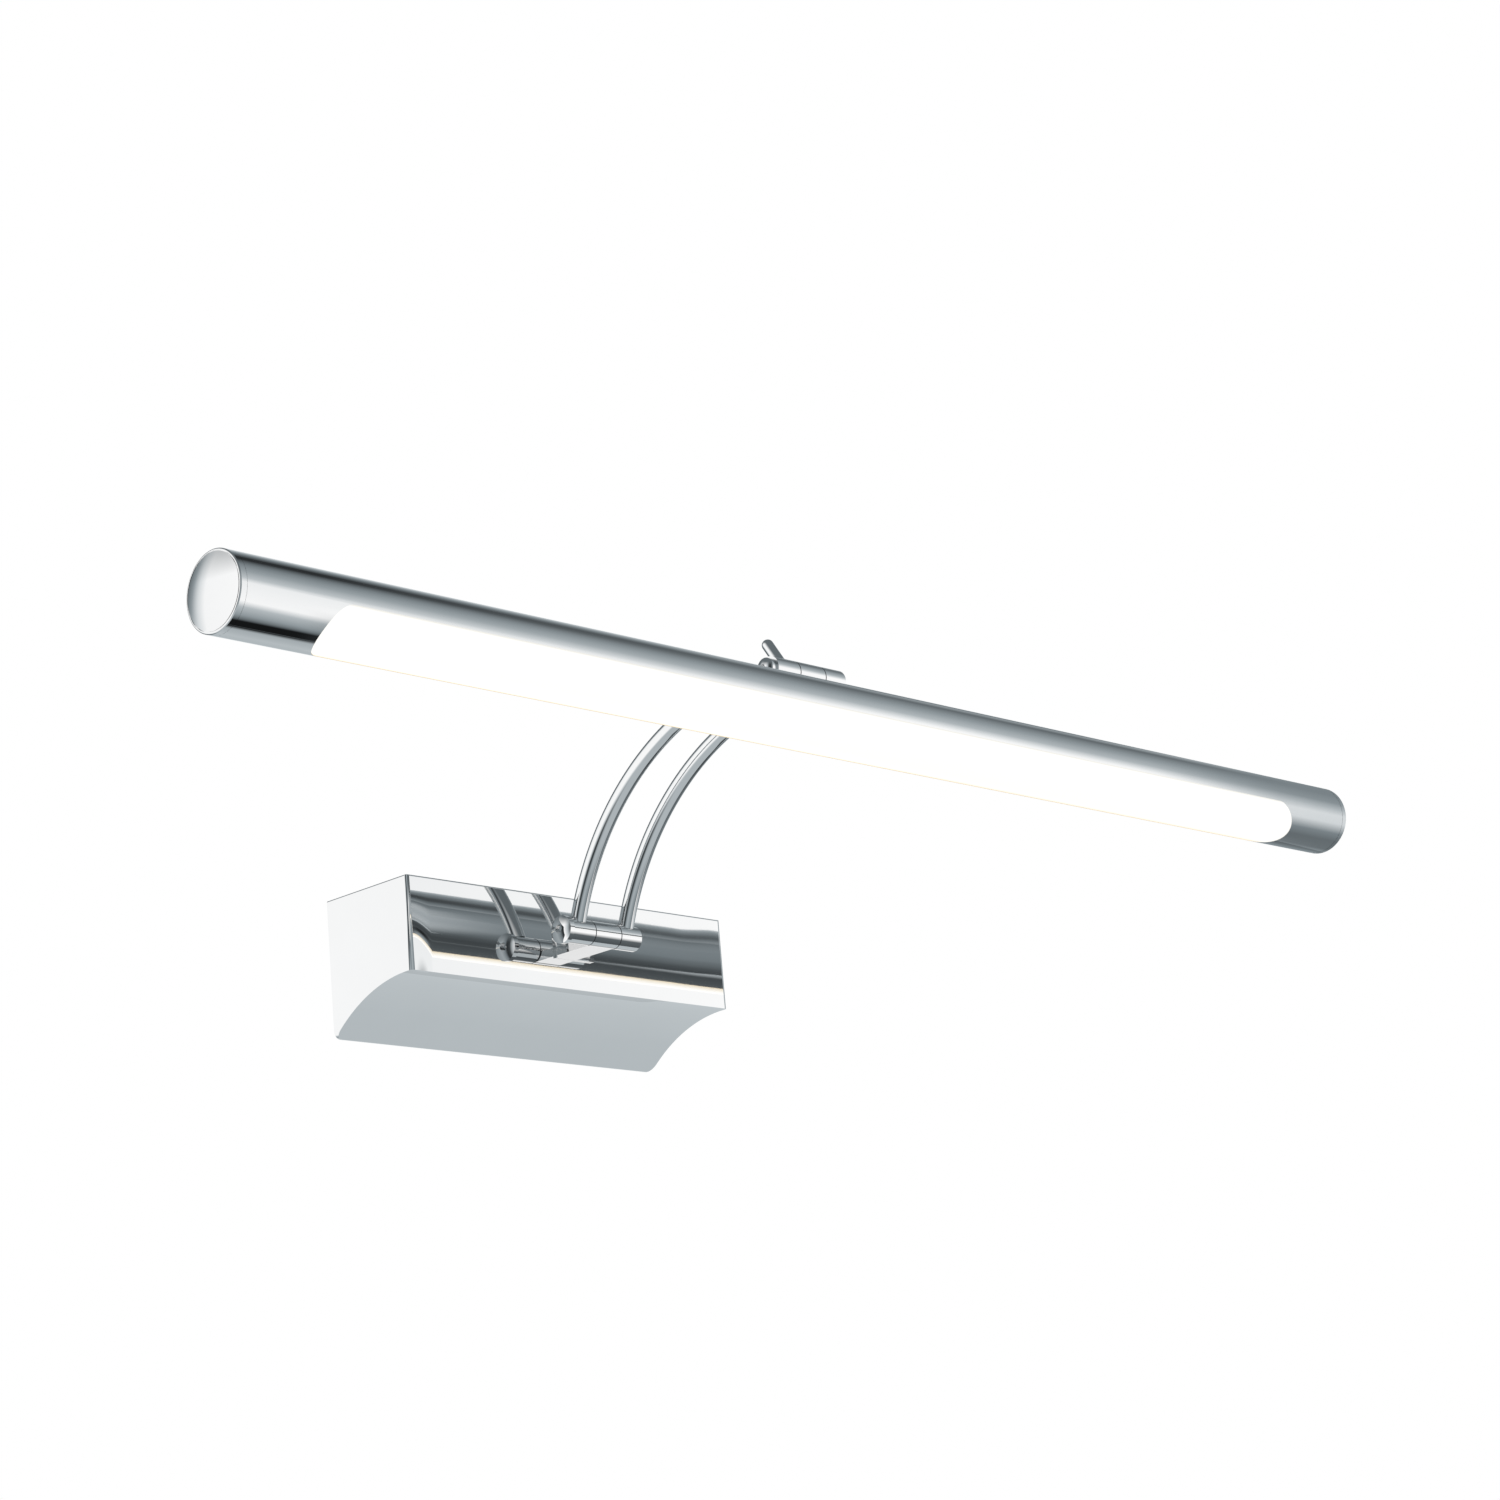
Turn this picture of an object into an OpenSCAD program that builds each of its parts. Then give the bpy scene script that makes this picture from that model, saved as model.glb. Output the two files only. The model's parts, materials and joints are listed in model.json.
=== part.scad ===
// Picture light: a long tube lamp carried by two curved arms on a wall box.
// X runs along the lamp tube, -Y points into the room and +Z points up.
// The origin is the centre of the back of the wall box, on the wall.

/* [Lamp tube] */
// Overall length of the lamp over its two domed end caps
overall_length = 602; // [592:1:610]
// Outside diameter of the lamp tube
tube_od = 28.4; // [28:0.1:28.8]
// Wall thickness of the lamp tube
tube_wall = 1.5; // [1.3:0.1:1.6]
// Distance from the wall to the lamp tube's axis
tube_out = 206.4; // [204:0.2:208]
// Height of the lamp tube's axis above the middle of the box
tube_up = 59.1; // [57:0.1:61]
// Direction in which the light window faces, turned from +Y towards +Z
window_angle = 236; // [234:1:238]
// Half the width of the light window, measured straight across
window_half_width = 11.4; // [11:0.1:11.6]
// Length of the light window over its two round ends
window_length = 526.4; // [520:0.2:530]

/* [Wall box] */
// Width of the box along the wall
box_width = 172; // [168:1:176]
// Height of the box at the wall
box_height = 55.5; // [54.5:0.5:57]
// Depth of the box from the wall to its front face
box_depth = 48.1; // [47.5:0.1:49]
// Height of the flat front face
front_height = 37.9; // [37:0.1:39]
// Radius of the hollow curve under the box
cove_radius = 67.4; // [66:0.2:69]
// Thickness of the cover's metal
cover_wall = 1.2; // [1:0.1:1.4]

/* [Hinges] */
// Distance from the wall to the lower hinge axis
lower_out = 64.5; // [64:0.1:65.5]
// Height of the lower hinge axis
lower_up = 8.7; // [8.4:0.1:9]
// Distance from the wall to the upper hinge axis
upper_out = 186.2; // [185:0.2:187]
// Height of the upper hinge axis
upper_up = 83; // [82:0.2:84]
// Outside diameter of the hinge barrels
knuckle_od = 10; // [9.8:0.1:10.4]
// Length of each outer hinge knuckle
outer_knuckle = 12; // [11.5:0.1:13]
// Diameter of the hinge bolts
bolt_d = 4; // [3.8:0.1:4]
// Diameter of the tilt locking pin outside its knuckle
pin_d = 4.6; // [4.2:0.1:4.8]

/* [Arms] */
// Outside diameter of each arm
arm_od = 6.4; // [6.2:0.1:6.6]
// Wall thickness of each arm
arm_wall = 0.8; // [0.6:0.1:1]
// Radius of the arms' curve, at the middle of the rod
arm_radius = 107; // [105:0.5:109]
// Distance between the middles of the two arms
arm_spacing = 26; // [25:0.2:27]

/* [Hidden] */
$fn = 72;
fit_gap = 0.05;
cut = 1;

tube_r = tube_od / 2;
tube_in_r = tube_r - tube_wall;
cap_dome = 1.7;
cap_flange = 2.7;
cap_edge_r = 0.5;
cap_groove = 0.3;
cap_seam = 0.1;
tube_half = overall_length / 2 - cap_dome - cap_flange - cap_seam;
window_half = window_length / 2;
saddle_angle = window_angle - 180;

carrier_out = -1.2;
carrier_thick = 3;
carrier_width = 23;
carrier_length = 556;
board_width = 12;
board_thick = 1.2;
board_length = 540;
chip_pitch = 12;
chip_count = 44;
board_screw_x = [-204, -72, 72, 204];
saddle_screw_x = 11.5;
carrier_screw_x = 24;
block_length = 60;
foot_thick = 2.4;
foot_half_length = 16;
foot_half_angle = 24;

box_top = box_height / 2;
front_low = box_top - front_height;
cove_y = 2.1 - box_depth;
cove_z = front_low - cove_radius;
corner_r = 1.6;
edge_r = 0.7;
low_corner_r = 3;
plate_thick = 1.5;
plate_gap = 0.4;
plate_low = -22.4;
tab_x = 60;
tab_screw_y = -8;
wall_slot_x = 74;
wall_slot_z = 4;
wall_slot_length = 12;
wall_slot_r = 2.4;
entry_x = -22;
entry_z = 6;
entry_r = 6.5;
grommet_bore_r = 4;
earth_x = -34;
earth_z = -12;
driver_x = [7, 61];
driver_z = [-9, 21.2];
driver_depth = 24;
driver_ear = 6;
terminal_x = [-64, -34];
terminal_z = [-2, 14];
terminal_depth = 15;
pole_x = [-59, -49, -39];
fixing_x = [3.8, 64.2, -54];
fixing_z = 6;
fixing_stack = [3, 3, 5];
lead_y = -plate_thick - terminal_depth + 6.5;
lead_z = [19.5, 16.6];

knuckle_r = knuckle_od / 2;
middle_half = 6.75;
washer_thick = 0.4;
outer_from = middle_half + fit_gap + washer_thick;
outer_to = outer_from + outer_knuckle;
bolt_r = bolt_d / 2;
bolt_hole_r = bolt_r + fit_gap;
blind_to = outer_to - 3.2;
head_rim = 2.3;
head_dome = 1.5;
lower_head_r = 5.65;
upper_head_r = 4.1;
socket_share = 0.68;
lug_low = lower_up - knuckle_r + 0.15;
lug_thick = 3.5;
lug_foot = 1.2;
lug_screw_x = 3.8;
lug_screw_z = lug_low + lug_thick / 2;
stiffener_thick = 1.5;

pin_x = -9.6;
pin_angle = 57.5;
pin_from = 6;
pin_to = 18.2;
pin_thread_r = 1.5;

lower_pivot = [-lower_out, lower_up];
upper_pivot = [-upper_out, upper_up];
tube_axis = [-tube_out, tube_up];
pivot_gap = upper_pivot - lower_pivot;
pivot_dir = pivot_gap / norm(pivot_gap);
arm_centre = (lower_pivot + upper_pivot) / 2
    + sqrt(pow(arm_radius, 2) - pow(norm(pivot_gap) / 2, 2)) * [-pivot_dir[1], pivot_dir[0]];
arm_socket = 4.2;
arm_trim = 2 * asin(arm_socket / 2 / arm_radius);
arm_from = angle_of(lower_pivot - arm_centre) + arm_trim;
arm_to = angle_of(upper_pivot - arm_centre) - arm_trim;
lead_r = 1.1;

bracket_angle = angle_of(upper_pivot - tube_axis);
bracket_reach = norm(upper_pivot - tube_axis);

function angle_of(v) = atan2(v[1], v[0]);

// ---- Helpers -------------------------------------------------------------

// Turns a shape drawn in XY with its length on Z so that it lies along X, with
// its own X on the part's Y and its own Y on the part's Z.
module along_x() {
    rotate([90, 0, 90]) children();
}

// Places children drawn around a hinge or tube axis, given as [y, z].
module on_axis(centre) {
    translate([0, centre[0], centre[1]]) along_x() children();
}

// Rod along Z between two heights.
module rod(r, from, to) {
    translate([0, 0, from]) cylinder(r = r, h = to - from);
}

// Curved plate around Z, between two radii and two angles.
module ring_sector(inner, outer, from_angle, to_angle, from, to) {
    translate([0, 0, from])
        rotate([0, 0, from_angle])
            rotate_extrude(angle = to_angle - from_angle)
                translate([inner, 0])
                    square([outer - inner, to - from]);
}

// Rod along X between two places, at a given y and z.
module rod_x(r, from, to, y, z) {
    translate([from, y, z]) rotate([0, 90, 0]) cylinder(r = r, h = to - from);
}

// Rod along Y between two places, at a given x and z.
module rod_y(r, from, to, x, z) {
    translate([x, to, z]) rotate([90, 0, 0]) cylinder(r = r, h = to - from);
}

// Ball on the Z axis with its poles to the sides, for a dome that faces along Z.
module dome_ball(r, centre_z) {
    translate([0, 0, centre_z]) rotate([0, 90, 0]) sphere(r = r, $fn = 180);
}

// Box between two corners.
module block(low, high) {
    translate(low) cube(high - low);
}

// Pan-head screw along Y: the shank runs towards the wall from under the head.
module pan_screw(shank_r, head_r, head_h, head_y, length, x, z) {
    difference() {
        union() {
            rod_y(shank_r, head_y, head_y + length, x, z);
            rod_y(head_r, head_y - head_h, head_y + fit_gap, x, z);
        }
        block([x - head_r * 0.7, head_y - head_h - cut, z - 0.4],
              [x + head_r * 0.7, head_y - head_h * 0.45, z + 0.4]);
        block([x - 0.4, head_y - head_h - cut, z - head_r * 0.7],
              [x + 0.4, head_y - head_h * 0.45, z + head_r * 0.7]);
    }
}

// Countersunk screw along Z: the flat head ends at z = 0 and the shank runs down.
module countersunk_screw(shank_r, head_r, head_h, length) {
    difference() {
        union() {
            translate([0, 0, -head_h]) cylinder(r1 = shank_r, r2 = head_r, h = head_h);
            translate([0, 0, -length]) cylinder(r = shank_r, h = length - head_h / 2);
        }
        for (turn = [0, 90])
            rotate([0, 0, turn])
                translate([-head_r * 0.55, -0.3, -head_h * 0.5])
                    cube([head_r * 1.1, 0.6, head_h]);
    }
}

// Hole for a countersunk screw along Z; its cone widens on above z = 0.
module countersunk_hole(shank_r, head_r, head_h, depth) {
    slope = (head_r - shank_r) / head_h;
    translate([0, 0, -head_h])
        cylinder(r1 = shank_r, r2 = head_r + slope * cut, h = head_h + cut);
    translate([0, 0, -depth]) cylinder(r = shank_r, h = depth);
}

// ---- Wall box --------------------------------------------------------------

// Block with rounded front corners that reaches the wall.
module rounded_plan(half, depth, r, low, high) {
    block([-half + r, -depth, low], [half - r, cut, high]);
    block([-half, -depth + r, low], [half, cut, high]);
    for (side = [-1, 1])
        translate([side * (half - r), -depth + r, low])
            cylinder(r = r, h = high - low);
}

// Block along the wall with its top front edge rounded.
module rounded_side(half, depth, r, low, high) {
    block([-half, -depth, low], [half, cut, high - r]);
    block([-half, -depth + r, low], [half, cut, high]);
    rod_x(r, -half, half, -depth + r, high - r);
}

// Block whose four long edges into the wall are rounded, less at the top than below.
module rounded_front(half, depth, top_r, low_r, low, high) {
    block([-half, -depth, low + low_r], [half, cut, high - top_r]);
    block([-half + low_r, -depth, low], [half - low_r, cut, high - top_r]);
    block([-half + top_r, -depth, low + low_r], [half - top_r, cut, high]);
    for (side = [-1, 1]) {
        rod_y(low_r, -depth, cut, side * (half - low_r), low + low_r);
        rod_y(top_r, -depth, cut, side * (half - top_r), high - top_r);
    }
}

// The hollow curve under the box, as a solid to take away.
module cove(r) {
    rod_x(r, -box_width, box_width, cove_y, cove_z);
}

module box_cover() {
    half = box_width / 2;
    inner = cover_wall;
    color([0.82, 0.84, 0.86])
    difference() {
        intersection() {
            rounded_plan(half, box_depth, corner_r, -box_top, box_top);
            rounded_side(half + cut, box_depth, edge_r, -box_top - cut, box_top);
            rounded_front(half, box_depth + cut, edge_r, low_corner_r, -box_top, box_top);
        }
        cove(cove_radius);
        // Back of the cover, flush with the wall
        block([-box_width, 0, -box_height], [box_width, 3 * cut, box_height]);
        // Inside of the cover, open towards the wall
        difference() {
            intersection() {
                rounded_plan(half - inner, box_depth - inner, corner_r - inner,
                             -box_top + inner, box_top - inner);
                rounded_front(half - inner, box_depth, edge_r, low_corner_r - inner,
                              -box_top + inner, box_top - inner);
            }
            cove(cove_radius + inner);
        }
        // Holes for the hinge bracket's bolts
        for (side = [-1, 1])
            rod_y(1.35, -box_depth - cut, -box_depth + cover_wall + cut, side * lug_screw_x, lug_screw_z);
        // Countersunk holes in the top for the cover screws
        for (side = [-1, 1])
            translate([side * tab_x, tab_screw_y, box_top])
                countersunk_hole(1.6, 2.9, 1.3, 3);
    }
}

module cover_screws() {
    color([0.78, 0.8, 0.82])
    for (side = [-1, 1])
        translate([side * tab_x, tab_screw_y, box_top])
            countersunk_screw(1.5, 2.8, 1.3, 6.5);
}

module back_plate() {
    half = box_width / 2 - cover_wall - plate_gap;
    tab_high = box_top - cover_wall - 0.15;
    color([0.7, 0.72, 0.74])
    difference() {
        union() {
            block([-half, -plate_thick, plate_low], [half, 0, tab_high]);
            for (side = [-1, 1])
                translate([side * tab_x, 0, 0])
                    block([-7, -14, tab_high - plate_thick], [7, 0, tab_high]);
        }
        // Tapped holes for the cover screws
        for (side = [-1, 1])
            translate([side * tab_x, tab_screw_y, tab_high - plate_thick - cut])
                cylinder(r = 1.5 + fit_gap, h = plate_thick + 2 * cut);
        // Level slots for the wall screws
        for (side = [-1, 1]) {
            reach = wall_slot_length / 2 - wall_slot_r;
            for (end = [-1, 1])
                rod_y(wall_slot_r, -plate_thick - cut, cut, side * wall_slot_x + end * reach, wall_slot_z);
            block([side * wall_slot_x - reach, -plate_thick - cut, wall_slot_z - wall_slot_r],
                  [side * wall_slot_x + reach, cut, wall_slot_z + wall_slot_r]);
        }
        // Cable entry
        rod_y(entry_r, -plate_thick - cut, cut, entry_x, entry_z);
        // Tapped holes for what is fixed to the plate
        for (x = fixing_x)
            rod_y(1.5 + fit_gap, -plate_thick - cut, cut, x, fixing_z);
        rod_y(2 + fit_gap, -plate_thick - cut, cut, earth_x, earth_z);
    }
}

module cable_grommet() {
    groove = plate_thick + 2 * fit_gap;
    front = -plate_thick - fit_gap;
    color([0.1, 0.1, 0.1])
    difference() {
        union() {
            rod_y(entry_r - fit_gap, front - cut, -0.1, entry_x, entry_z);
            rod_y(entry_r + 1.8, front - 1.8, front, entry_x, entry_z);
        }
        rod_y(grommet_bore_r, front - groove - 3, 2 * cut, entry_x, entry_z);
    }
}

module led_driver() {
    color([0.92, 0.92, 0.9])
    difference() {
        union() {
            block([driver_x[0], -plate_thick - driver_depth, driver_z[0]],
                  [driver_x[1], -plate_thick - fit_gap, driver_z[1]]);
            block([driver_x[0] - driver_ear, -plate_thick - 3, 0],
                  [driver_x[1] + driver_ear, -plate_thick - fit_gap, 12]);
        }
        for (x = [fixing_x[0], fixing_x[1]])
            rod_y(1.65, -plate_thick - 4, 0, x, fixing_z);
        // Sockets for the mains leads
        for (z = lead_z)
            rod_x(1.1, driver_x[0] - cut, driver_x[0] + 5, lead_y, z);
    }
}

module terminal_block() {
    front = -plate_thick - terminal_depth;
    color([0.93, 0.92, 0.88])
    difference() {
        block([terminal_x[0], front, terminal_z[0]],
              [terminal_x[1], -plate_thick - fit_gap, terminal_z[1]]);
        for (x = pole_x) {
            // Screw well in front, then the wire way from top to bottom
            rod_y(2.2, front - cut, front + 4, x, fixing_z);
            translate([x, front + 6.5, terminal_z[0] - cut])
                cylinder(r = 1.9, h = terminal_z[1] - terminal_z[0] + 2 * cut);
        }
        rod_y(1.65, front - cut, 0, fixing_x[2], fixing_z);
        rod_y(2.9, front - cut, -plate_thick - fixing_stack[2], fixing_x[2], fixing_z);
    }
}

module terminal_screws() {
    front = -plate_thick - terminal_depth;
    color([0.8, 0.7, 0.4])
    for (x = pole_x)
        difference() {
            rod_y(2.1, front + 0.6, front + 3.9, x, fixing_z);
            block([x - 3, front - cut, fixing_z - 0.35], [x + 3, front + 1.5, fixing_z + 0.35]);
        }
}

module plate_screws() {
    color([0.75, 0.76, 0.78])
    for (i = [0, 1, 2])
        pan_screw(1.5, 2.7, 1.9, -plate_thick - fixing_stack[i] - fit_gap,
                  fixing_stack[i] + plate_thick - 0.2, fixing_x[i], fixing_z);
}

module earth_screw() {
    color([0.8, 0.7, 0.4])
        pan_screw(2, 3.8, 2.4, -plate_thick - 1, 2.3, earth_x, earth_z);
}

module earth_washer() {
    color([0.75, 0.76, 0.78])
    difference() {
        rod_y(4.6, -plate_thick - 0.95, -plate_thick - fit_gap, earth_x, earth_z);
        rod_y(2.15, -plate_thick - 2, 0, earth_x, earth_z);
    }
}

// One lead from the driver's end along the box, then down into its pole.
module input_lead(x, y, z) {
    bend = 4;
    rod_x(0.9, x + bend, driver_x[0] + 4.8, y, z);
    translate([x + bend, y, z - bend])
        rotate([90, 0, 0])
            rotate([0, 0, 90])
                rotate_extrude(angle = 90)
                    translate([bend, 0]) circle(r = 0.9);
    translate([x, y, terminal_z[0] + 4])
        cylinder(r = 0.9, h = z - bend - terminal_z[0] - 4);
}

module input_leads() {
    color([0.25, 0.3, 0.6]) {
        input_lead(pole_x[1], lead_y, lead_z[0]);
        input_lead(pole_x[2], lead_y, lead_z[1]);
    }
}

// ---- Hinges ------------------------------------------------------------------

// Middle knuckle's body, without its bore.
module middle_knuckle() {
    rod(knuckle_r, -middle_half, middle_half);
}

// Washers either side of the middle knuckle; they stand back from the barrel.
module hinge_washers(centre) {
    on_axis(centre)
    for (side = [-1, 1])
        translate([0, 0, side * (middle_half + fit_gap + washer_thick / 2)])
            difference() {
                cylinder(r = knuckle_r - 0.25, h = washer_thick, center = true);
                cylinder(r = bolt_hole_r + 0.1, h = washer_thick + cut, center = true);
            }
}

// Outer knuckle on the bolt-head side, drilled right through.
module open_knuckle() {
    difference() {
        rod(knuckle_r, -outer_to, -outer_from);
        rod(bolt_hole_r, -outer_to - cut, -outer_from + cut);
    }
}

// Outer knuckle on the far side, with a blind hole and a softly domed end.
module closed_knuckle() {
    dome_r = 9;
    difference() {
        intersection() {
            rod(knuckle_r, outer_from, outer_to + 2);
            dome_ball(dome_r, outer_to - dome_r + 0.4);
        }
        rod(bolt_hole_r, outer_from - cut, blind_to);
    }
}

// Hinge bolt with a domed hexagon-socket head at its left end.
module hinge_bolt(head_r) {
    dome_r = (pow(head_r, 2) + pow(head_dome, 2)) / (2 * head_dome);
    outer_face = -outer_to - head_rim - head_dome;
    difference() {
        union() {
            rod(bolt_r, -outer_to - cut, blind_to - 0.5);
            rod(head_r, -outer_to - head_rim + 0.2, -outer_to - fit_gap);
            intersection() {
                rod(head_r, outer_face - cut, -outer_to - head_rim + 0.5);
                translate([0, 0, outer_face + dome_r]) sphere(r = dome_r);
            }
        }
        translate([0, 0, outer_face - cut]) cylinder(d = socket_share * head_r, h = 2.6 + cut, $fn = 6);
    }
}

// An arm's curve at one side, for a given profile drawn at the rod's middle.
module arm_sweep(side, from_angle, to_angle) {
    translate([side * arm_spacing / 2, arm_centre[0], arm_centre[1]])
        along_x()
            rotate([0, 0, from_angle])
                rotate_extrude(angle = to_angle - from_angle)
                    translate([arm_radius, 0]) children();
}

// Sockets that the arm ends sit in, to take away from the knuckles.
module arm_sockets(side) {
    arm_sweep(side, arm_from, arm_to) circle(r = arm_od / 2 + fit_gap);
}

module wall_hinge_bracket() {
    color([0.8, 0.82, 0.84])
    difference() {
        union() {
            on_axis(lower_pivot) middle_knuckle();
            block([-middle_half, -lower_out, lug_low],
                  [middle_half, -box_depth - fit_gap, lug_low + lug_thick]);
            block([-10, -box_depth - lug_foot, lug_low - 2],
                  [10, -box_depth - fit_gap, lug_low + lug_thick + 3]);
        }
        on_axis(lower_pivot) rod(bolt_hole_r, -middle_half - cut, middle_half + cut);
        for (side = [-1, 1])
            rod_y(1.25 + fit_gap, -box_depth - 8, -box_depth + cut, side * lug_screw_x, lug_screw_z);
    }
}

module bracket_stiffener() {
    front = -box_depth + cover_wall + fit_gap;
    color([0.7, 0.72, 0.74])
    difference() {
        block([-30, front, -6], [30, front + stiffener_thick, 18]);
        for (side = [-1, 1])
            rod_y(1.35, front - cut, front + stiffener_thick + cut, side * lug_screw_x, lug_screw_z);
    }
}

module bracket_bolts() {
    under_head = -box_depth + cover_wall + stiffener_thick + 2 * fit_gap;
    color([0.75, 0.76, 0.78])
    for (side = [-1, 1]) {
        rod_y(1.25, -box_depth - 7, under_head + 0.2, side * lug_screw_x, lug_screw_z);
        difference() {
            rod_y(2.2, under_head, under_head + 2, side * lug_screw_x, lug_screw_z);
            translate([side * lug_screw_x, under_head + 3, lug_screw_z])
                rotate([90, 0, 0]) cylinder(d = 2.3, h = 2.2, $fn = 6);
        }
    }
}

module left_lower_knuckle() {
    color([0.82, 0.84, 0.86])
    difference() {
        on_axis(lower_pivot) open_knuckle();
        arm_sockets(-1);
    }
}

module right_lower_knuckle() {
    color([0.82, 0.84, 0.86])
    difference() {
        on_axis(lower_pivot) closed_knuckle();
        arm_sockets(1);
    }
}

module lower_hinge_bolt() {
    color([0.8, 0.81, 0.83])
        on_axis(lower_pivot) hinge_bolt(lower_head_r);
}

module lower_hinge_washers() {
    color([0.2, 0.2, 0.2])
        hinge_washers(lower_pivot);
}

// ---- Arms ----------------------------------------------------------------------

module arm(side) {
    color([0.84, 0.86, 0.88])
        arm_sweep(side, arm_from, arm_to)
            difference() {
                circle(r = arm_od / 2);
                circle(r = arm_od / 2 - arm_wall);
            }
}

module left_arm() {
    arm(-1);
}

module right_arm() {
    arm(1);
}

module arm_leads() {
    color([0.85, 0.85, 0.85])
    for (side = [-1, 1])
        arm_sweep(side, arm_from + 0.3, arm_to - 0.3) circle(r = lead_r);
}

module left_upper_knuckle() {
    color([0.82, 0.84, 0.86])
    difference() {
        on_axis(upper_pivot) open_knuckle();
        arm_sockets(-1);
        on_axis(upper_pivot)
            translate([0, 0, pin_x]) rotate([0, 90, pin_angle])
                rod(pin_thread_r + fit_gap, 0, knuckle_od);
    }
}

module right_upper_knuckle() {
    color([0.82, 0.84, 0.86])
    difference() {
        on_axis(upper_pivot) closed_knuckle();
        arm_sockets(1);
    }
}

module upper_hinge_bolt() {
    color([0.8, 0.81, 0.83])
        on_axis(upper_pivot) hinge_bolt(upper_head_r);
}

module upper_hinge_washers() {
    color([0.2, 0.2, 0.2])
        hinge_washers(upper_pivot);
}

// Hand-turned pin: a thread that bears on the hinge bolt and a round-ended grip.
module tilt_locking_pin() {
    grip_r = pin_d / 2;
    color([0.82, 0.84, 0.86])
    on_axis(upper_pivot)
        translate([0, 0, pin_x]) rotate([0, 90, pin_angle]) {
            rod(pin_thread_r, bolt_r + 0.15, pin_from + cut);
            rod(grip_r, pin_from, pin_to - grip_r);
            translate([0, 0, pin_to - grip_r])
                difference() {
                    sphere(r = grip_r);
                    translate([0, 0, -grip_r - fit_gap])
                        cube(2 * grip_r, center = true);
                }
        }
}

// ---- Lamp ------------------------------------------------------------------------

// Places children around the tube axis with their own X through the window.
module window_frame() {
    on_axis(tube_axis) rotate([0, 0, window_angle]) children();
}

// Places children around the tube axis with their own X through the bracket foot.
module saddle_frame() {
    on_axis(tube_axis) rotate([0, 0, saddle_angle]) children();
}

// Round-ended slot through the tube's window side, grown by a margin.
module window_cutter(margin) {
    half_width = window_half_width + margin;
    end = window_half - window_half_width;
    translate([0, -half_width, -end]) cube([tube_od, 2 * half_width, 2 * end]);
    for (side = [-1, 1])
        translate([0, 0, side * end]) rotate([0, 90, 0])
            cylinder(r = half_width, h = tube_od);
}

module lamp_tube() {
    color([0.84, 0.86, 0.88])
    difference() {
        on_axis(tube_axis) rod(tube_r, -tube_half, tube_half);
        on_axis(tube_axis) rod(tube_in_r, -tube_half - cut, tube_half + cut);
        window_frame() window_cutter(0);
        saddle_frame()
            for (side = [-1, 1])
                translate([0, 0, side * saddle_screw_x]) rotate([0, 90, 0])
                    cylinder(r = 1.6, h = tube_od);
    }
}

// End cap: a flange with a rounded edge, a low dome inside a fine groove, and a spigot in the tube.
module end_cap(side) {
    inner = tube_half + cap_seam;
    flange_to = inner + cap_flange;
    edge_foot_r = tube_r - cap_edge_r;
    dome_foot_r = edge_foot_r - 0.2 - cap_groove;
    dome_r = (pow(dome_foot_r, 2) + pow(cap_dome, 2)) / (2 * cap_dome);
    color([0.84, 0.86, 0.88])
    translate([0, tube_axis[0], tube_axis[1]])
        rotate([0, side * 90, 0]) {
            difference() {
                union() {
                    rod(tube_r, inner, flange_to - cap_edge_r);
                    rod(edge_foot_r, inner, flange_to);
                    translate([0, 0, flange_to - cap_edge_r])
                        rotate_extrude() translate([edge_foot_r, 0]) circle(r = cap_edge_r);
                }
                rod(dome_foot_r + cap_groove, flange_to - 0.6, flange_to + cut);
            }
            intersection() {
                rod(dome_foot_r, inner + 0.5, flange_to + 2 * cap_dome);
                dome_ball(dome_r, flange_to + cap_dome - dome_r);
            }
            difference() {
                rod(tube_in_r - fit_gap, inner - 9, inner + 0.2);
                rod(tube_in_r - 1.8, inner - 10, inner - 0.8);
            }
        }
}

module left_end_cap() {
    end_cap(-1);
}

module right_end_cap() {
    end_cap(1);
}

// Opal diffuser: it fills the window almost flush and clips behind its edges.
module diffuser() {
    lens_in_r = tube_in_r - 0.3;
    clip_half_angle = asin(window_half_width / lens_in_r) + 2;
    color([1, 0.99, 0.96])
    window_frame() {
        intersection() {
            difference() {
                rod(tube_r - 0.15, -window_half, window_half);
                rod(lens_in_r, -window_half - cut, window_half + cut);
            }
            window_cutter(-0.15);
        }
        ring_sector(tube_in_r - 1.4, tube_in_r - 0.1, -clip_half_angle, clip_half_angle,
                    -window_half - 3, window_half + 3);
    }
}

module led_carrier() {
    half_width = carrier_width / 2;
    back = carrier_out - carrier_thick;
    color([0.75, 0.76, 0.78])
    window_frame()
        difference() {
            block([back, -half_width, -carrier_length / 2],
                  [carrier_out, half_width, carrier_length / 2]);
            for (x = board_screw_x)
                translate([back - cut, 0, x]) rotate([0, 90, 0])
                    cylinder(r = 1.25 + fit_gap, h = carrier_thick + 2 * cut);
            for (side = [-1, 1])
                translate([carrier_out, 0, side * carrier_screw_x]) rotate([0, 90, 0])
                    countersunk_hole(1.6, 2.9, 1.5, carrier_thick + cut);
        }
}

module carrier_screws() {
    color([0.75, 0.76, 0.78])
    window_frame()
        for (side = [-1, 1])
            translate([carrier_out - fit_gap, 0, side * carrier_screw_x]) rotate([0, 90, 0])
                countersunk_screw(1.5, 2.8, 1.5, 8);
}

module led_board() {
    color([0.95, 0.95, 0.93])
    window_frame()
        difference() {
            block([carrier_out + fit_gap, -board_width / 2, -board_length / 2],
                  [carrier_out + board_thick, board_width / 2, board_length / 2]);
            for (x = board_screw_x)
                translate([carrier_out - cut, 0, x]) rotate([0, 90, 0])
                    cylinder(r = 1.4, h = board_thick + 2 * cut);
        }
}

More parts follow.
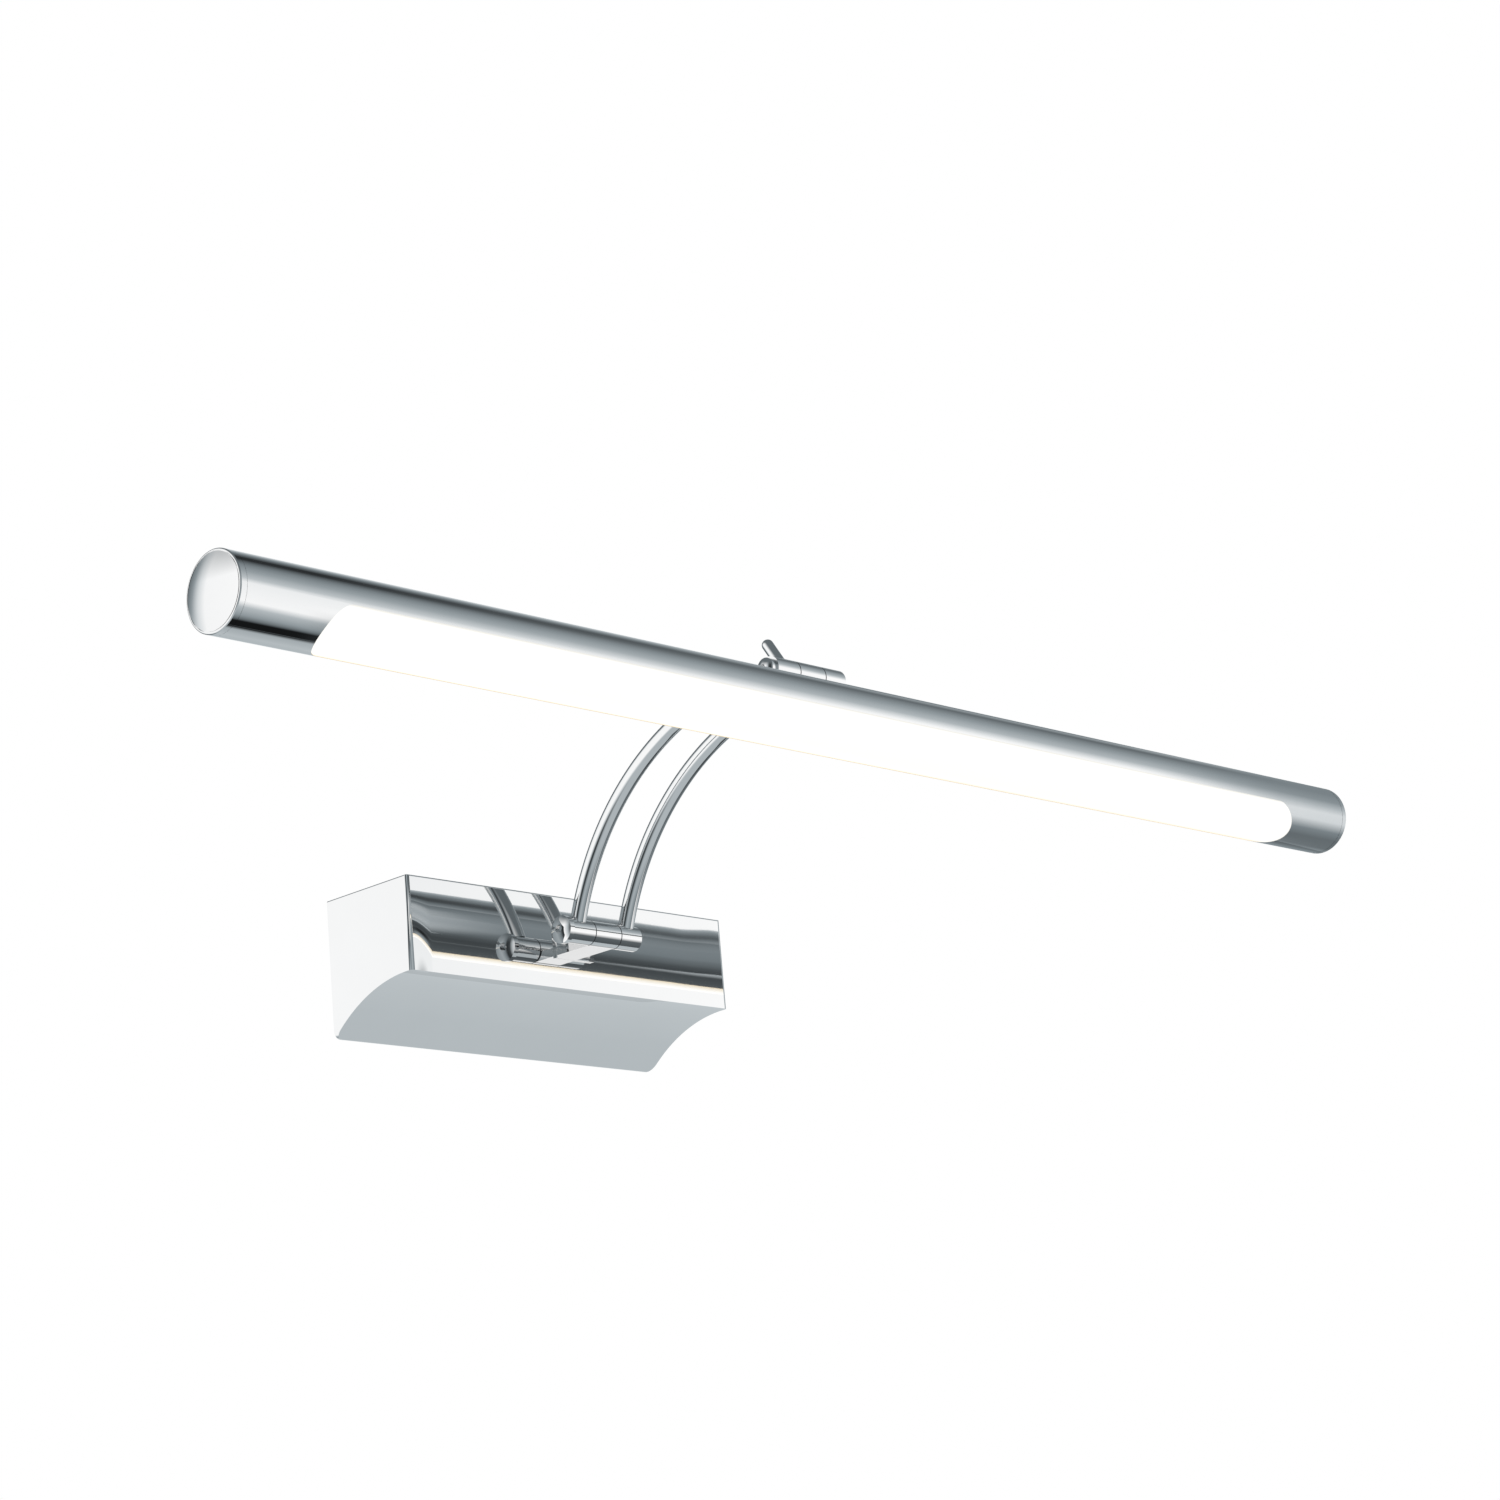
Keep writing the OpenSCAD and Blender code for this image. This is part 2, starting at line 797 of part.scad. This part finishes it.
module led_chips() {
    top = carrier_out + board_thick;
    color([1, 0.9, 0.55])
    window_frame()
        for (i = [0 : chip_count - 1])
            translate([top + fit_gap, -1.4, (i - (chip_count - 1) / 2) * chip_pitch - 1.75])
                cube([0.8, 2.8, 3.5]);
}

module board_screws() {
    top = carrier_out + board_thick;
    color([0.75, 0.76, 0.78])
    window_frame()
        for (x = board_screw_x)
            translate([top + fit_gap, 0, x]) rotate([0, 90, 0])
                difference() {
                    union() {
                        cylinder(r = 2.2, h = 1.4);
                        translate([0, 0, -3.9]) cylinder(r = 1.25, h = 4);
                    }
                    for (turn = [0, 90])
                        rotate([0, 0, turn])
                            translate([-1.4, -0.3, 0.8]) cube([2.8, 0.6, cut]);
                }
}

// Solid block between the tube's inside and the back of the carrier.
module saddle_block() {
    inner = -carrier_out + carrier_thick + fit_gap;
    color([0.75, 0.76, 0.78])
    saddle_frame()
        difference() {
            intersection() {
                rod(tube_in_r - 2 * fit_gap, -block_length / 2, block_length / 2);
                translate([inner, -6, -block_length]) cube([tube_r, 12, 2 * block_length]);
            }
            for (side = [-1, 1]) {
                translate([7, 0, side * saddle_screw_x]) rotate([0, 90, 0])
                    cylinder(r = 1.5 + fit_gap, h = tube_r);
                translate([inner - cut, 0, side * carrier_screw_x]) rotate([0, 90, 0])
                    cylinder(r = 1.5 + fit_gap, h = 6);
            }
        }
}

module saddle_screws() {
    outside = tube_r + foot_thick;
    color([0.78, 0.8, 0.82])
    saddle_frame()
        for (side = [-1, 1])
            translate([outside - 0.1, 0, side * saddle_screw_x]) rotate([0, 90, 0])
                countersunk_screw(1.5, 2.8, 1.5, 9);
}

// Middle knuckle of the upper hinge, its lug and the curved foot on the tube.
module lamp_hinge_bracket() {
    foot_r = tube_r + fit_gap;
    color([0.8, 0.82, 0.84])
    difference() {
        union() {
            on_axis(upper_pivot) middle_knuckle();
            on_axis(tube_axis) rotate([0, 0, bracket_angle])
                translate([foot_r + 0.8, -2, -middle_half + 0.5])
                    cube([bracket_reach - foot_r - 0.8, 4, 2 * middle_half - 1]);
            saddle_frame()
                ring_sector(foot_r, tube_r + foot_thick, -foot_half_angle, foot_half_angle,
                            -foot_half_length, foot_half_length);
        }
        on_axis(upper_pivot) rod(bolt_hole_r, -middle_half - cut, middle_half + cut);
        saddle_frame()
            for (side = [-1, 1])
                translate([tube_r + foot_thick, 0, side * saddle_screw_x]) rotate([0, 90, 0])
                    countersunk_hole(1.6, 2.9, 1.6, foot_thick + cut);
    }
}

back_plate();
box_cover();
cover_screws();
cable_grommet();
led_driver();
terminal_block();
terminal_screws();
plate_screws();
earth_screw();
earth_washer();
input_leads();
wall_hinge_bracket();
bracket_stiffener();
bracket_bolts();
left_lower_knuckle();
right_lower_knuckle();
lower_hinge_bolt();
lower_hinge_washers();
left_arm();
right_arm();
arm_leads();
left_upper_knuckle();
right_upper_knuckle();
upper_hinge_bolt();
upper_hinge_washers();
tilt_locking_pin();
lamp_hinge_bracket();
saddle_screws();
saddle_block();
carrier_screws();
lamp_tube();
left_end_cap();
right_end_cap();
diffuser();
led_carrier();
led_board();
led_chips();
board_screws();
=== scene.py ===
"""Looks of the picture light: polished chrome, a glowing opal window and a plain pale studio."""

import json
import math

import bpy
from mathutils import Matrix, Vector


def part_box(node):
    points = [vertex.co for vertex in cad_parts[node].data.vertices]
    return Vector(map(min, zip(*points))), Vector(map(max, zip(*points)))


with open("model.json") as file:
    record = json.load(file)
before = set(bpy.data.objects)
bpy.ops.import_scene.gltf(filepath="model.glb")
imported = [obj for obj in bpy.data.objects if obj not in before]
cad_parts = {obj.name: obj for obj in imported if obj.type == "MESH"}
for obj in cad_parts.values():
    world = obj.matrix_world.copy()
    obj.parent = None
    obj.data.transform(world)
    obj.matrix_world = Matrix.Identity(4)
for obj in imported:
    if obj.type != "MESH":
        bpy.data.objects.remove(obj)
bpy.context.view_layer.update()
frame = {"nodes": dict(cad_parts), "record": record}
nodes = frame["nodes"]
SCENE = bpy.context.scene
MM = 0.001

# ---- Camera ---------------------------------------------------------------------

# Place in metres; lens, sensor width in millimetres; the camera sees this many metres.
CAMERA_PLACE = Vector((-1.0159, -1.1072, -0.3302))
CAMERA_AZIMUTH = math.radians(-46.84)
CAMERA_ELEVATION = math.radians(-15.73)
CAMERA_ROLL = math.radians(-5.07)
CAMERA_LENS = 90.0
CAMERA_SENSOR = 36.0
CAMERA_REACH = 50.0


def add_camera():
    """Camera low down on the lamp's left, looking up at it, rolled a few degrees."""
    back = Vector((
        math.sin(CAMERA_AZIMUTH) * math.cos(CAMERA_ELEVATION),
        -math.cos(CAMERA_AZIMUTH) * math.cos(CAMERA_ELEVATION),
        math.sin(CAMERA_ELEVATION),
    ))
    right = Vector((0, 0, 1)).cross(back).normalized()
    up = back.cross(right)
    rolled_right = right * math.cos(CAMERA_ROLL) + up * math.sin(CAMERA_ROLL)
    rolled_up = up * math.cos(CAMERA_ROLL) - right * math.sin(CAMERA_ROLL)
    data = bpy.data.cameras.new("camera")
    data.lens = CAMERA_LENS
    data.sensor_width = CAMERA_SENSOR
    data.clip_end = CAMERA_REACH
    camera = bpy.data.objects.new("camera", data)
    turn = Matrix((rolled_right, rolled_up, back)).transposed()
    camera.matrix_world = Matrix.Translation(CAMERA_PLACE) @ turn.to_4x4()
    SCENE.collection.objects.link(camera)
    SCENE.camera = camera


# ---- Node helpers ------------------------------------------------------------------


class Tree:
    """Short calls for building a shader tree."""

    def __init__(self, tree):
        self.tree = tree
        tree.nodes.clear()

    def add(self, kind, **settings):
        """New node; a setting is a property, or a socket's value where its name is in inputs."""
        node = self.tree.nodes.new(kind)
        for name, value in settings.items():
            if hasattr(node, name):
                setattr(node, name, value)
            else:
                node.inputs[name].default_value = value
        return node

    def wire(self, source, target):
        self.tree.links.new(source, target)

    def math(self, operation, first, second=None):
        """Math node; each input is a number or another node's output."""
        node = self.tree.nodes.new("ShaderNodeMath")
        node.operation = operation
        for place, value in enumerate((first, second)):
            if value is None:
                continue
            if isinstance(value, (int, float)):
                node.inputs[place].default_value = value
            else:
                self.wire(value, node.inputs[place])
        return node.outputs[0]

    def turn(self, rise, run):
        """Share of a full turn, from 0 to 1, of the direction that two coordinates give."""
        angle = self.math("ARCTAN2", rise, run)
        return self.math("FRACT", self.math("DIVIDE", angle, 2 * math.pi))

    def mapped(self, value, low, high, to_low=0.0, to_high=1.0, smooth=False):
        """Value carried from one range to another and held at the ends."""
        node = self.tree.nodes.new("ShaderNodeMapRange")
        node.interpolation_type = "SMOOTHSTEP" if smooth else "LINEAR"
        self.wire(value, node.inputs["Value"])
        for name, number in (
            ("From Min", low), ("From Max", high), ("To Min", to_low), ("To Max", to_high)
        ):
            node.inputs[name].default_value = number
        return node.outputs["Result"]

    def mix(self, factor, first, second):
        """Mix of two colours; each input is a colour or another node's output."""
        node = self.tree.nodes.new("ShaderNodeMix")
        node.data_type = "RGBA"
        sockets = (node.inputs[0], node.inputs[6], node.inputs[7])
        for socket, value in zip(sockets, (factor, first, second)):
            if isinstance(value, (int, float)):
                socket.default_value = value
            elif isinstance(value, tuple):
                socket.default_value = (*value, 1.0)
            else:
                self.wire(value, socket)
        return node.outputs[2]

    def noise(self, place, scale, detail, roughness=0.5):
        """Noise over coordinates in metres."""
        node = self.add("ShaderNodeTexNoise", Scale=scale, Detail=detail, Roughness=roughness)
        self.wire(place, node.inputs["Vector"])
        return node.outputs[0]

    def stretched(self, place, scale):
        """Coordinates scaled along each axis; a small scale draws the pattern out."""
        node = self.add("ShaderNodeMapping")
        node.inputs["Scale"].default_value = scale
        self.wire(place, node.inputs["Vector"])
        return node.outputs[0]

    def finish(self, shader):
        """Makes a shader the tree's surface."""
        self.wire(shader, self.add("ShaderNodeOutputMaterial").inputs["Surface"])

    def ramp(self, value, stops):
        """Colour ramp with (place, colour) stops."""
        node = self.tree.nodes.new("ShaderNodeValToRGB")
        self.wire(value, node.inputs[0])
        elements = node.color_ramp.elements
        for place, colour in stops[1:-1]:
            elements.new(place)
        for element, (place, colour) in zip(sorted(elements, key=lambda e: e.position), stops):
            element.position = place
            element.color = (*colour, 1.0)
        return node.outputs[0]


def linear(grey):
    """Linear light of a screen level from 0 to 255."""
    level = grey / 255.0
    if level <= 0.04045:
        return level / 12.92
    return ((level + 0.055) / 1.055) ** 2.4


def light_of(red, green, blue, gain=1.0):
    """Linear colour of three screen levels, times a gain."""
    return tuple(linear(level) * gain for level in (red, green, blue))


# ---- Studio --------------------------------------------------------------------------

# The studio's soft light around the lamp's long axis, by direction: 0 is into the
# wall, 90 up, 180 into the room and 270 down. Each stop is (degrees, screen level).
# The near end of the lamp mirrors black flags above and below, the middle mirrors
# greys above and below, and the far end mirrors a dimmer part of the room.
NEAR_LIGHT = (
    (0, 175), (35, 205), (60, 130), (80, 45), (90, 45), (110, 125), (130, 155),
    (150, 190), (162, 236), (180, 240), (212, 245), (228, 185), (250, 150), (262, 100),
    (268, 22), (290, 22), (300, 170), (330, 185),
)
MIDDLE_LIGHT = (
    (0, 175), (40, 170), (75, 100), (110, 150), (135, 180), (150, 225), (160, 250),
    (195, 250), (222, 95), (282, 75), (296, 185), (340, 190),
)
FAR_LIGHT = (
    (0, 165), (40, 125), (90, 128), (125, 142), (150, 180), (172, 214), (200, 210),
    (235, 130), (265, 106), (310, 110), (340, 150),
)

# The light around the vertical, which the arms, caps and bolt heads mirror: 0 is past
# the lamp's far end, 90 into the wall, 180 past the near end and 270 into the room.
SIDE_LIGHT = (
    (0, 100), (92, 85), (98, 110), (106, 150), (115, 215), (124, 244), (164, 247),
    (178, 195), (190, 70), (204, 50), (216, 135), (235, 172), (262, 155), (288, 130),
    (320, 95),
)
OVERHEAD_LIGHT = 105
UNDERNEATH_LIGHT = 178

# Where one light gives way to the next, as parts of a direction of length 1. Seen from
# the camera, the lamp's near end mirrors directions with a smaller x than its far end.
NEAR_ENDS = (0.61, 0.73)
NEAR_ENDS_BELOW = (0.61, 0.63)
BELOW_STARTS = (0.0, -0.1)
FAR_STARTS = (0.77, 0.80)
SIDE_STARTS = (0.57, 0.47)
OVERHEAD_STARTS = (0.4, 0.75)
UNDERNEATH_STARTS = (-0.5, -0.75)

CHROME_SHARE = 0.82  # of the light, which polished chrome gives back
WHITE_LEVEL = 250.0  # screen level from which light has no tint
TINT_DEPTH = 120.0  # levels below that at which the tint is full
RED_TINT = -0.07
BLUE_TINT = 0.035
BACKGROUND = (1.0, 1.0, 1.0)


def mirrored_light(level):
    """Light that chrome mirrors at a screen level; greys are a little blue, whites white."""
    tint = min(1.0, max(0.0, (WHITE_LEVEL - level) / TINT_DEPTH))
    red = level * (1 + RED_TINT * tint)
    blue = level * (1 + BLUE_TINT * tint)
    return light_of(red, level, blue, gain=1.0 / CHROME_SHARE)


def round_light(t, turn, stops):
    """Light around an axis as a colour ramp that closes on itself."""
    colours = [(degrees / 360.0, mirrored_light(level)) for degrees, level in stops]
    colours.append((1.0, mirrored_light(stops[0][1])))
    return t.ramp(turn, colours)


def add_studio_light():
    """World light: a white background, and soft panels and dark flags for the chrome to mirror."""
    world = bpy.data.worlds.new("studio")
    SCENE.world = world
    world.use_nodes = True
    t = Tree(world.node_tree)
    direction = t.add("ShaderNodeTexCoord")
    parts = t.add("ShaderNodeSeparateXYZ")
    t.wire(direction.outputs["Generated"], parts.inputs[0])
    x, y, z = parts.outputs
    turn = t.turn(z, y)
    near = round_light(t, turn, NEAR_LIGHT)
    middle = round_light(t, turn, MIDDLE_LIGHT)
    far = round_light(t, turn, FAR_LIGHT)
    past_near_below = t.math("MULTIPLY",
                             t.mapped(x, *NEAR_ENDS_BELOW),
                             t.mapped(z, *BELOW_STARTS))
    past_near = t.math("MAXIMUM", t.mapped(x, *NEAR_ENDS), past_near_below)
    around = t.mix(past_near, near, middle)
    around = t.mix(t.mapped(x, *FAR_STARTS, smooth=True), around, far)
    beside = round_light(t, t.turn(y, x), SIDE_LIGHT)
    beside = t.mix(t.mapped(z, *OVERHEAD_STARTS), beside, mirrored_light(OVERHEAD_LIGHT))
    beside = t.mix(t.mapped(z, *UNDERNEATH_STARTS), beside, mirrored_light(UNDERNEATH_LIGHT))
    mirrored = t.mix(t.mapped(x, *SIDE_STARTS, smooth=True), around, beside)
    path = t.add("ShaderNodeLightPath")
    seen = t.mix(path.outputs["Is Glossy Ray"], BACKGROUND, mirrored)
    shader = t.add("ShaderNodeBackground")
    t.wire(seen, shader.inputs["Color"])
    output = t.add("ShaderNodeOutputWorld")
    t.wire(shader.outputs[0], output.inputs[0])


def add_card(name, corners, level_stops, axis, fade=None):
    """Card of painted reflection that only the chrome mirrors; its level runs along one axis, in
    metres.

    fade is (axis, clear from, full from), the soft start of the card.
    """
    mesh = bpy.data.meshes.new(name)
    mesh.from_pydata(corners, [], [(0, 1, 2, 3)])
    card = bpy.data.objects.new(name, mesh)
    SCENE.collection.objects.link(card)
    card.visible_camera = False
    card.visible_diffuse = False
    card.visible_shadow = False
    card.visible_transmission = False
    material, t = new_material(name)
    parts = t.add("ShaderNodeSeparateXYZ")
    t.wire(t.add("ShaderNodeTexCoord").outputs["Object"], parts.inputs[0])
    low = level_stops[0][0]
    high = level_stops[-1][0]
    stops = [((place - low) / (high - low), mirrored_light(level))
             for place, level in level_stops]
    glow = t.add("ShaderNodeEmission")
    t.wire(t.ramp(t.mapped(parts.outputs[axis], low, high), stops), glow.inputs["Color"])
    shown = glow.outputs[0]
    if fade:
        fade_axis, clear, full = fade
        mix = t.add("ShaderNodeMixShader")
        t.wire(t.mapped(parts.outputs[fade_axis], clear, full, smooth=True), mix.inputs[0])
        t.wire(t.add("ShaderNodeBsdfTransparent").outputs[0], mix.inputs[1])
        t.wire(glow.outputs[0], mix.inputs[2])
        shown = mix.outputs[0]
    t.finish(shown)
    mesh.materials.append(material)


def add_wall_cards():
    """Painted reflections of the wall for the chrome: pale under the box, with painted shade
    darker to the right of it.
    """
    wall = 0.01
    foot = -0.7
    head = 0.35
    left = 0.2
    # Painted shade: the wall's light falling off to the right of the box, as the chrome mirrors
    # it.
    add_card("wall_shade",
             [(left, wall, foot), (0.75, wall, foot), (0.55, wall, head), (left, wall, head)],
             [(foot, 76), (-0.3, 72), (-0.16, 86), (-0.09, 106), (-0.03, 118), (0.0, 129),
              (0.15, 140), (head, 112)],
             axis=2, fade=(0, left, left + 0.1))
    box_left = -0.084
    right = 0.22
    back = 0.005
    front = -0.06
    shelf = -0.08
    box_foot = -0.02
    # Painted reflections of the pale wall and shelf under the box.
    add_card("wall_reflection_below_box",
             [(box_left, back, shelf), (right, back, shelf),
              (right, back, box_foot), (box_left, back, box_foot)],
             [(shelf, 184), (box_foot, 190)], axis=2)
    add_card("shelf_reflection_below_box",
             [(box_left, front, shelf), (right, front, shelf),
              (right, back, shelf), (box_left, back, shelf)],
             [(front, 180), (back, 184)], axis=1)


# Low enough for a camera that looks up at the lamp.
FLOOR_DEPTH = -1.8
FLOOR_HALF = 6.0
FLOOR_COLOUR = (0.86, 0.86, 0.86, 1.0)


def add_floor():
    """Plain pale floor well below the lamp; the chrome mirrors the panels, not the floor."""
    mesh = bpy.data.meshes.new("floor")
    mesh.from_pydata(
        [(-FLOOR_HALF, -FLOOR_HALF, FLOOR_DEPTH), (FLOOR_HALF, -FLOOR_HALF, FLOOR_DEPTH),
         (FLOOR_HALF, FLOOR_HALF, FLOOR_DEPTH), (-FLOOR_HALF, FLOOR_HALF, FLOOR_DEPTH)],
        [], [(0, 1, 2, 3)])
    floor = bpy.data.objects.new("floor", mesh)
    SCENE.collection.objects.link(floor)
    floor.visible_glossy = False
    material, t = new_material("pale_floor")
    surface = t.add("ShaderNodeBsdfPrincipled", Roughness=0.9)
    surface.inputs["Base Color"].default_value = FLOOR_COLOUR
    t.finish(surface.outputs[0])
    mesh.materials.append(material)


LIGHT_TARGET = Vector((0, -0.15, 0))


def add_soft_light(name, place, size, power):
    """Large soft area light, aimed at the lamp, that the chrome doesn't mirror."""
    data = bpy.data.lights.new(name, "AREA")
    data.shape = "RECTANGLE"
    data.size = size[0]
    data.size_y = size[1]
    data.energy = power
    light = bpy.data.objects.new(name, data)
    light.location = place
    aim = LIGHT_TARGET - Vector(place)
    light.rotation_euler = aim.to_track_quat("-Z", "Y").to_euler()
    light.visible_glossy = False
    light.visible_camera = False
    SCENE.collection.objects.link(light)


# ---- Materials --------------------------------------------------------------------------


def new_material(name):
    material = bpy.data.materials.new(name)
    material.use_nodes = True
    return material, Tree(material.node_tree)


# The warp fades in over the last stretch of the front face at each end. Its depth grows
# with the square of the height, down from one level on the left and up from another.
COVER_LOW, COVER_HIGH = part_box("box_cover")
FACE_STARTS = (COVER_LOW.y + 1.9 * MM, COVER_LOW.y + 0.5 * MM)
LEFT_WARP = (COVER_LOW.x + 11 * MM, COVER_LOW.x)
LEFT_WARP_TOP = 21 * MM
LEFT_WARP_DEPTH = -0.6
RIGHT_WARP = (COVER_HIGH.x - 24 * MM, COVER_HIGH.x)
RIGHT_WARP_DEPTH = 0.1


def pressed_face_height(t, place):
    """Height, in metres, of the slight warp near the ends of the box's pressed front face."""
    parts = t.add("ShaderNodeSeparateXYZ")
    t.wire(place, parts.inputs[0])
    x, y, z = parts.outputs
    on_front = t.mapped(y, *FACE_STARTS, smooth=True)
    left = t.mapped(x, *LEFT_WARP, smooth=True)
    right = t.mapped(x, *RIGHT_WARP, smooth=True)
    below = t.math("MINIMUM", t.math("SUBTRACT", z, LEFT_WARP_TOP), 0.0)
    above = t.math("MAXIMUM", z, 0.0)
    left_height = t.math("MULTIPLY", t.math("MULTIPLY", below, below), LEFT_WARP_DEPTH)
    right_height = t.math("MULTIPLY", t.math("MULTIPLY", above, above), RIGHT_WARP_DEPTH)
    height = t.math("ADD",
                    t.math("MULTIPLY", left, left_height),
                    t.math("MULTIPLY", right, right_height))
    return t.math("MULTIPLY", height, on_front)


CHROME_COLOUR = (CHROME_SHARE, CHROME_SHARE, CHROME_SHARE)
CHROME_PALER = 1.03  # times the colour, in the clouding's palest parts
CLOUD_PART = 0.65  # of the clouding against the polishing lines, in the roughness


def chrome(name, along=(1.0, 1.0, 1.0), rough=(0.02, 0.07), wave=0.006, lines=0.0, warp=None):
    """Polished chrome plate: slight clouding, faint polishing lines, a very faint wave."""
    material, t = new_material(name)
    place = t.add("ShaderNodeTexCoord").outputs["Object"]
    cloud = t.noise(place, scale=14.0, detail=4.0, roughness=0.6)
    fine = t.noise(t.stretched(place, along), scale=900.0, detail=3.0, roughness=0.55)
    swell = t.noise(place, scale=60.0, detail=1.0, roughness=0.4)
    mixed = t.math("ADD",
                   t.math("MULTIPLY", cloud, CLOUD_PART),
                   t.math("MULTIPLY", fine, 1.0 - CLOUD_PART))
    surface = t.add("ShaderNodeBsdfPrincipled", Metallic=1.0)
    t.wire(t.mapped(mixed, 0.35, 0.65, *rough), surface.inputs["Roughness"])
    paler = tuple(part * CHROME_PALER for part in CHROME_COLOUR)
    tint = t.mix(t.mapped(cloud, 0.3, 0.7), CHROME_COLOUR, paler)
    t.wire(tint, surface.inputs["Base Color"])
    bump = t.add("ShaderNodeBump", Strength=wave, Distance=MM)
    t.wire(t.math("ADD", swell, t.math("MULTIPLY", fine, lines)), bump.inputs["Height"])
    if warp:
        warped = t.add("ShaderNodeBump", Strength=1.0, Distance=1.0)
        t.wire(warp(t, place), warped.inputs["Height"])
        t.wire(warped.outputs[0], bump.inputs["Normal"])
    t.wire(bump.outputs[0], surface.inputs["Normal"])
    t.finish(surface.outputs[0])
    return material


def add_grain(t, surface, fine, cloud, colour, shade, rough, grain):
    """Gives a surface its clouded colour, and a roughness and bump that follow its grain."""
    darker = tuple(part * shade for part in colour)
    t.wire(t.mix(t.mapped(cloud, 0.3, 0.7), darker, colour), surface.inputs["Base Color"])
    t.wire(t.mapped(fine, 0.3, 0.7, *rough), surface.inputs["Roughness"])
    bump = t.add("ShaderNodeBump", Strength=grain, Distance=0.1 * MM)
    t.wire(fine, bump.inputs["Height"])
    t.wire(bump.outputs[0], surface.inputs["Normal"])
    t.finish(surface.outputs[0])


def satin_metal(name, colour, rough=(0.25, 0.42), along=(1.0, 1.0, 1.0)):
    """Zinc-plated or milled metal with a directional grain."""
    material, t = new_material(name)
    place = t.add("ShaderNodeTexCoord").outputs["Object"]
    fine = t.noise(t.stretched(place, along), scale=1200.0, detail=4.0, roughness=0.6)
    cloud = t.noise(place, scale=40.0, detail=3.0)
    surface = t.add("ShaderNodeBsdfPrincipled", Metallic=1.0)
    add_grain(t, surface, fine, cloud, colour, shade=0.88, rough=rough, grain=0.12)
    return material


def plastic(name, colour, rough=(0.3, 0.45)):
    """Moulded plastic or rubber with a fine spark-eroded grain."""
    material, t = new_material(name)
    place = t.add("ShaderNodeTexCoord").outputs["Object"]
    fine = t.noise(place, scale=1800.0, detail=3.0, roughness=0.6)
    cloud = t.noise(place, scale=60.0, detail=3.0)
    surface = t.add("ShaderNodeBsdfPrincipled")
    add_grain(t, surface, fine, cloud, colour, shade=0.93, rough=rough, grain=0.15)
    return material


# The window's long edges, by direction around the tube's axis: 180 into the room, 270 down.
CAP_LOW, CAP_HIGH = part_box("left_end_cap")
TUBE_AXIS = (CAP_LOW + CAP_HIGH) / 2
WINDOW_TOP = 183.0
WINDOW_FOOT = 289.5


def opal(name):
    """Opal acrylic lit from behind: even white, with painted warm light towards its lower long
    edge and a thin painted shadow along its upper edge.
    """
    material, t = new_material(name)
    parts = t.add("ShaderNodeSeparateXYZ")
    t.wire(t.add("ShaderNodeTexCoord").outputs["Object"], parts.inputs[0])
    _, y, z = parts.outputs
    turn = t.turn(t.math("SUBTRACT", z, TUBE_AXIS.z), t.math("SUBTRACT", y, TUBE_AXIS.y))
    # Painted light in the glow: the dimmer first stop is a painted shadow along the upper edge,
    # and the warm last stops paint a warm glow along the lower edge.
    glow = t.ramp(t.mapped(turn, WINDOW_TOP / 360.0, WINDOW_FOOT / 360.0), [
        (0.0, light_of(228, 226, 220)),
        (0.03, light_of(253, 252, 249)),
        (0.86, light_of(255, 252, 246)),
        (0.95, light_of(252, 242, 222)),
        (1.0, light_of(241, 220, 184)),
    ])
    surface = t.add("ShaderNodeBsdfPrincipled", Roughness=0.35)
    surface.inputs["Base Color"].default_value = (0.06, 0.06, 0.055, 1.0)
    surface.inputs["Emission Strength"].default_value = 1.0
    t.wire(glow, surface.inputs["Emission Color"])
    t.finish(surface.outputs[0])
    return material


def make_materials():
    """One finished material for each slot of the record."""
    return {
        "chrome_cover": chrome("chrome_cover", rough=(0.005, 0.03), wave=0.004,
                               warp=pressed_face_height),
        "chrome_tube": chrome("chrome_tube", along=(0.02, 1.0, 1.0), lines=0.02),
        "chrome_caps": chrome("chrome_caps"),
        "chrome_arms": chrome("chrome_arms"),
        "chrome_hinges": chrome("chrome_hinges"),
        "chrome_bolts": chrome("chrome_bolts"),
        "zinc_steel": satin_metal("zinc_steel", (0.62, 0.64, 0.66), along=(0.05, 1.0, 1.0)),
        "steel_screws": satin_metal("steel_screws", (0.70, 0.71, 0.73), rough=(0.18, 0.3)),
        "brass_screws": satin_metal("brass_screws", (0.80, 0.62, 0.30), rough=(0.2, 0.32)),
        "hinge_nylon": plastic("hinge_nylon", (0.03, 0.03, 0.035)),
        "grommet_rubber": plastic("grommet_rubber", (0.02, 0.02, 0.02), rough=(0.6, 0.75)),
        "driver_case": plastic("driver_case", (0.84, 0.84, 0.82), rough=(0.4, 0.55)),
        "terminal_plastic": plastic("terminal_plastic", (0.86, 0.85, 0.78)),
        "lead_sleeve": plastic("lead_sleeve", (0.10, 0.15, 0.42)),
        "opal_diffuser": opal("opal_diffuser"),
        "aluminium_bar": satin_metal("aluminium_bar", (0.72, 0.73, 0.75), along=(0.03, 1.0, 1.0)),
        "board_white": plastic("board_white", (0.88, 0.88, 0.86), rough=(0.25, 0.35)),
        "led_phosphor": plastic("led_phosphor", (0.95, 0.78, 0.25), rough=(0.3, 0.4)),
    }


def dress_nodes():
    """Gives each CAD node the finished material of its slot."""
    finished = make_materials()
    for row in frame["record"]["subparts"]:
        node = nodes[row["node"]]
        for place in node.material_slots:
            place.material = finished[row["material_slot"]]


add_camera()
add_studio_light()
add_floor()
add_wall_cards()
add_soft_light("key", place=(-1.0, -1.6, 1.6), size=(1.6, 1.2), power=40.0)
add_soft_light("fill", place=(1.6, -1.0, 0.9), size=(1.4, 1.4), power=15.0)
dress_nodes()
SCENE.view_settings.view_transform = "Standard"
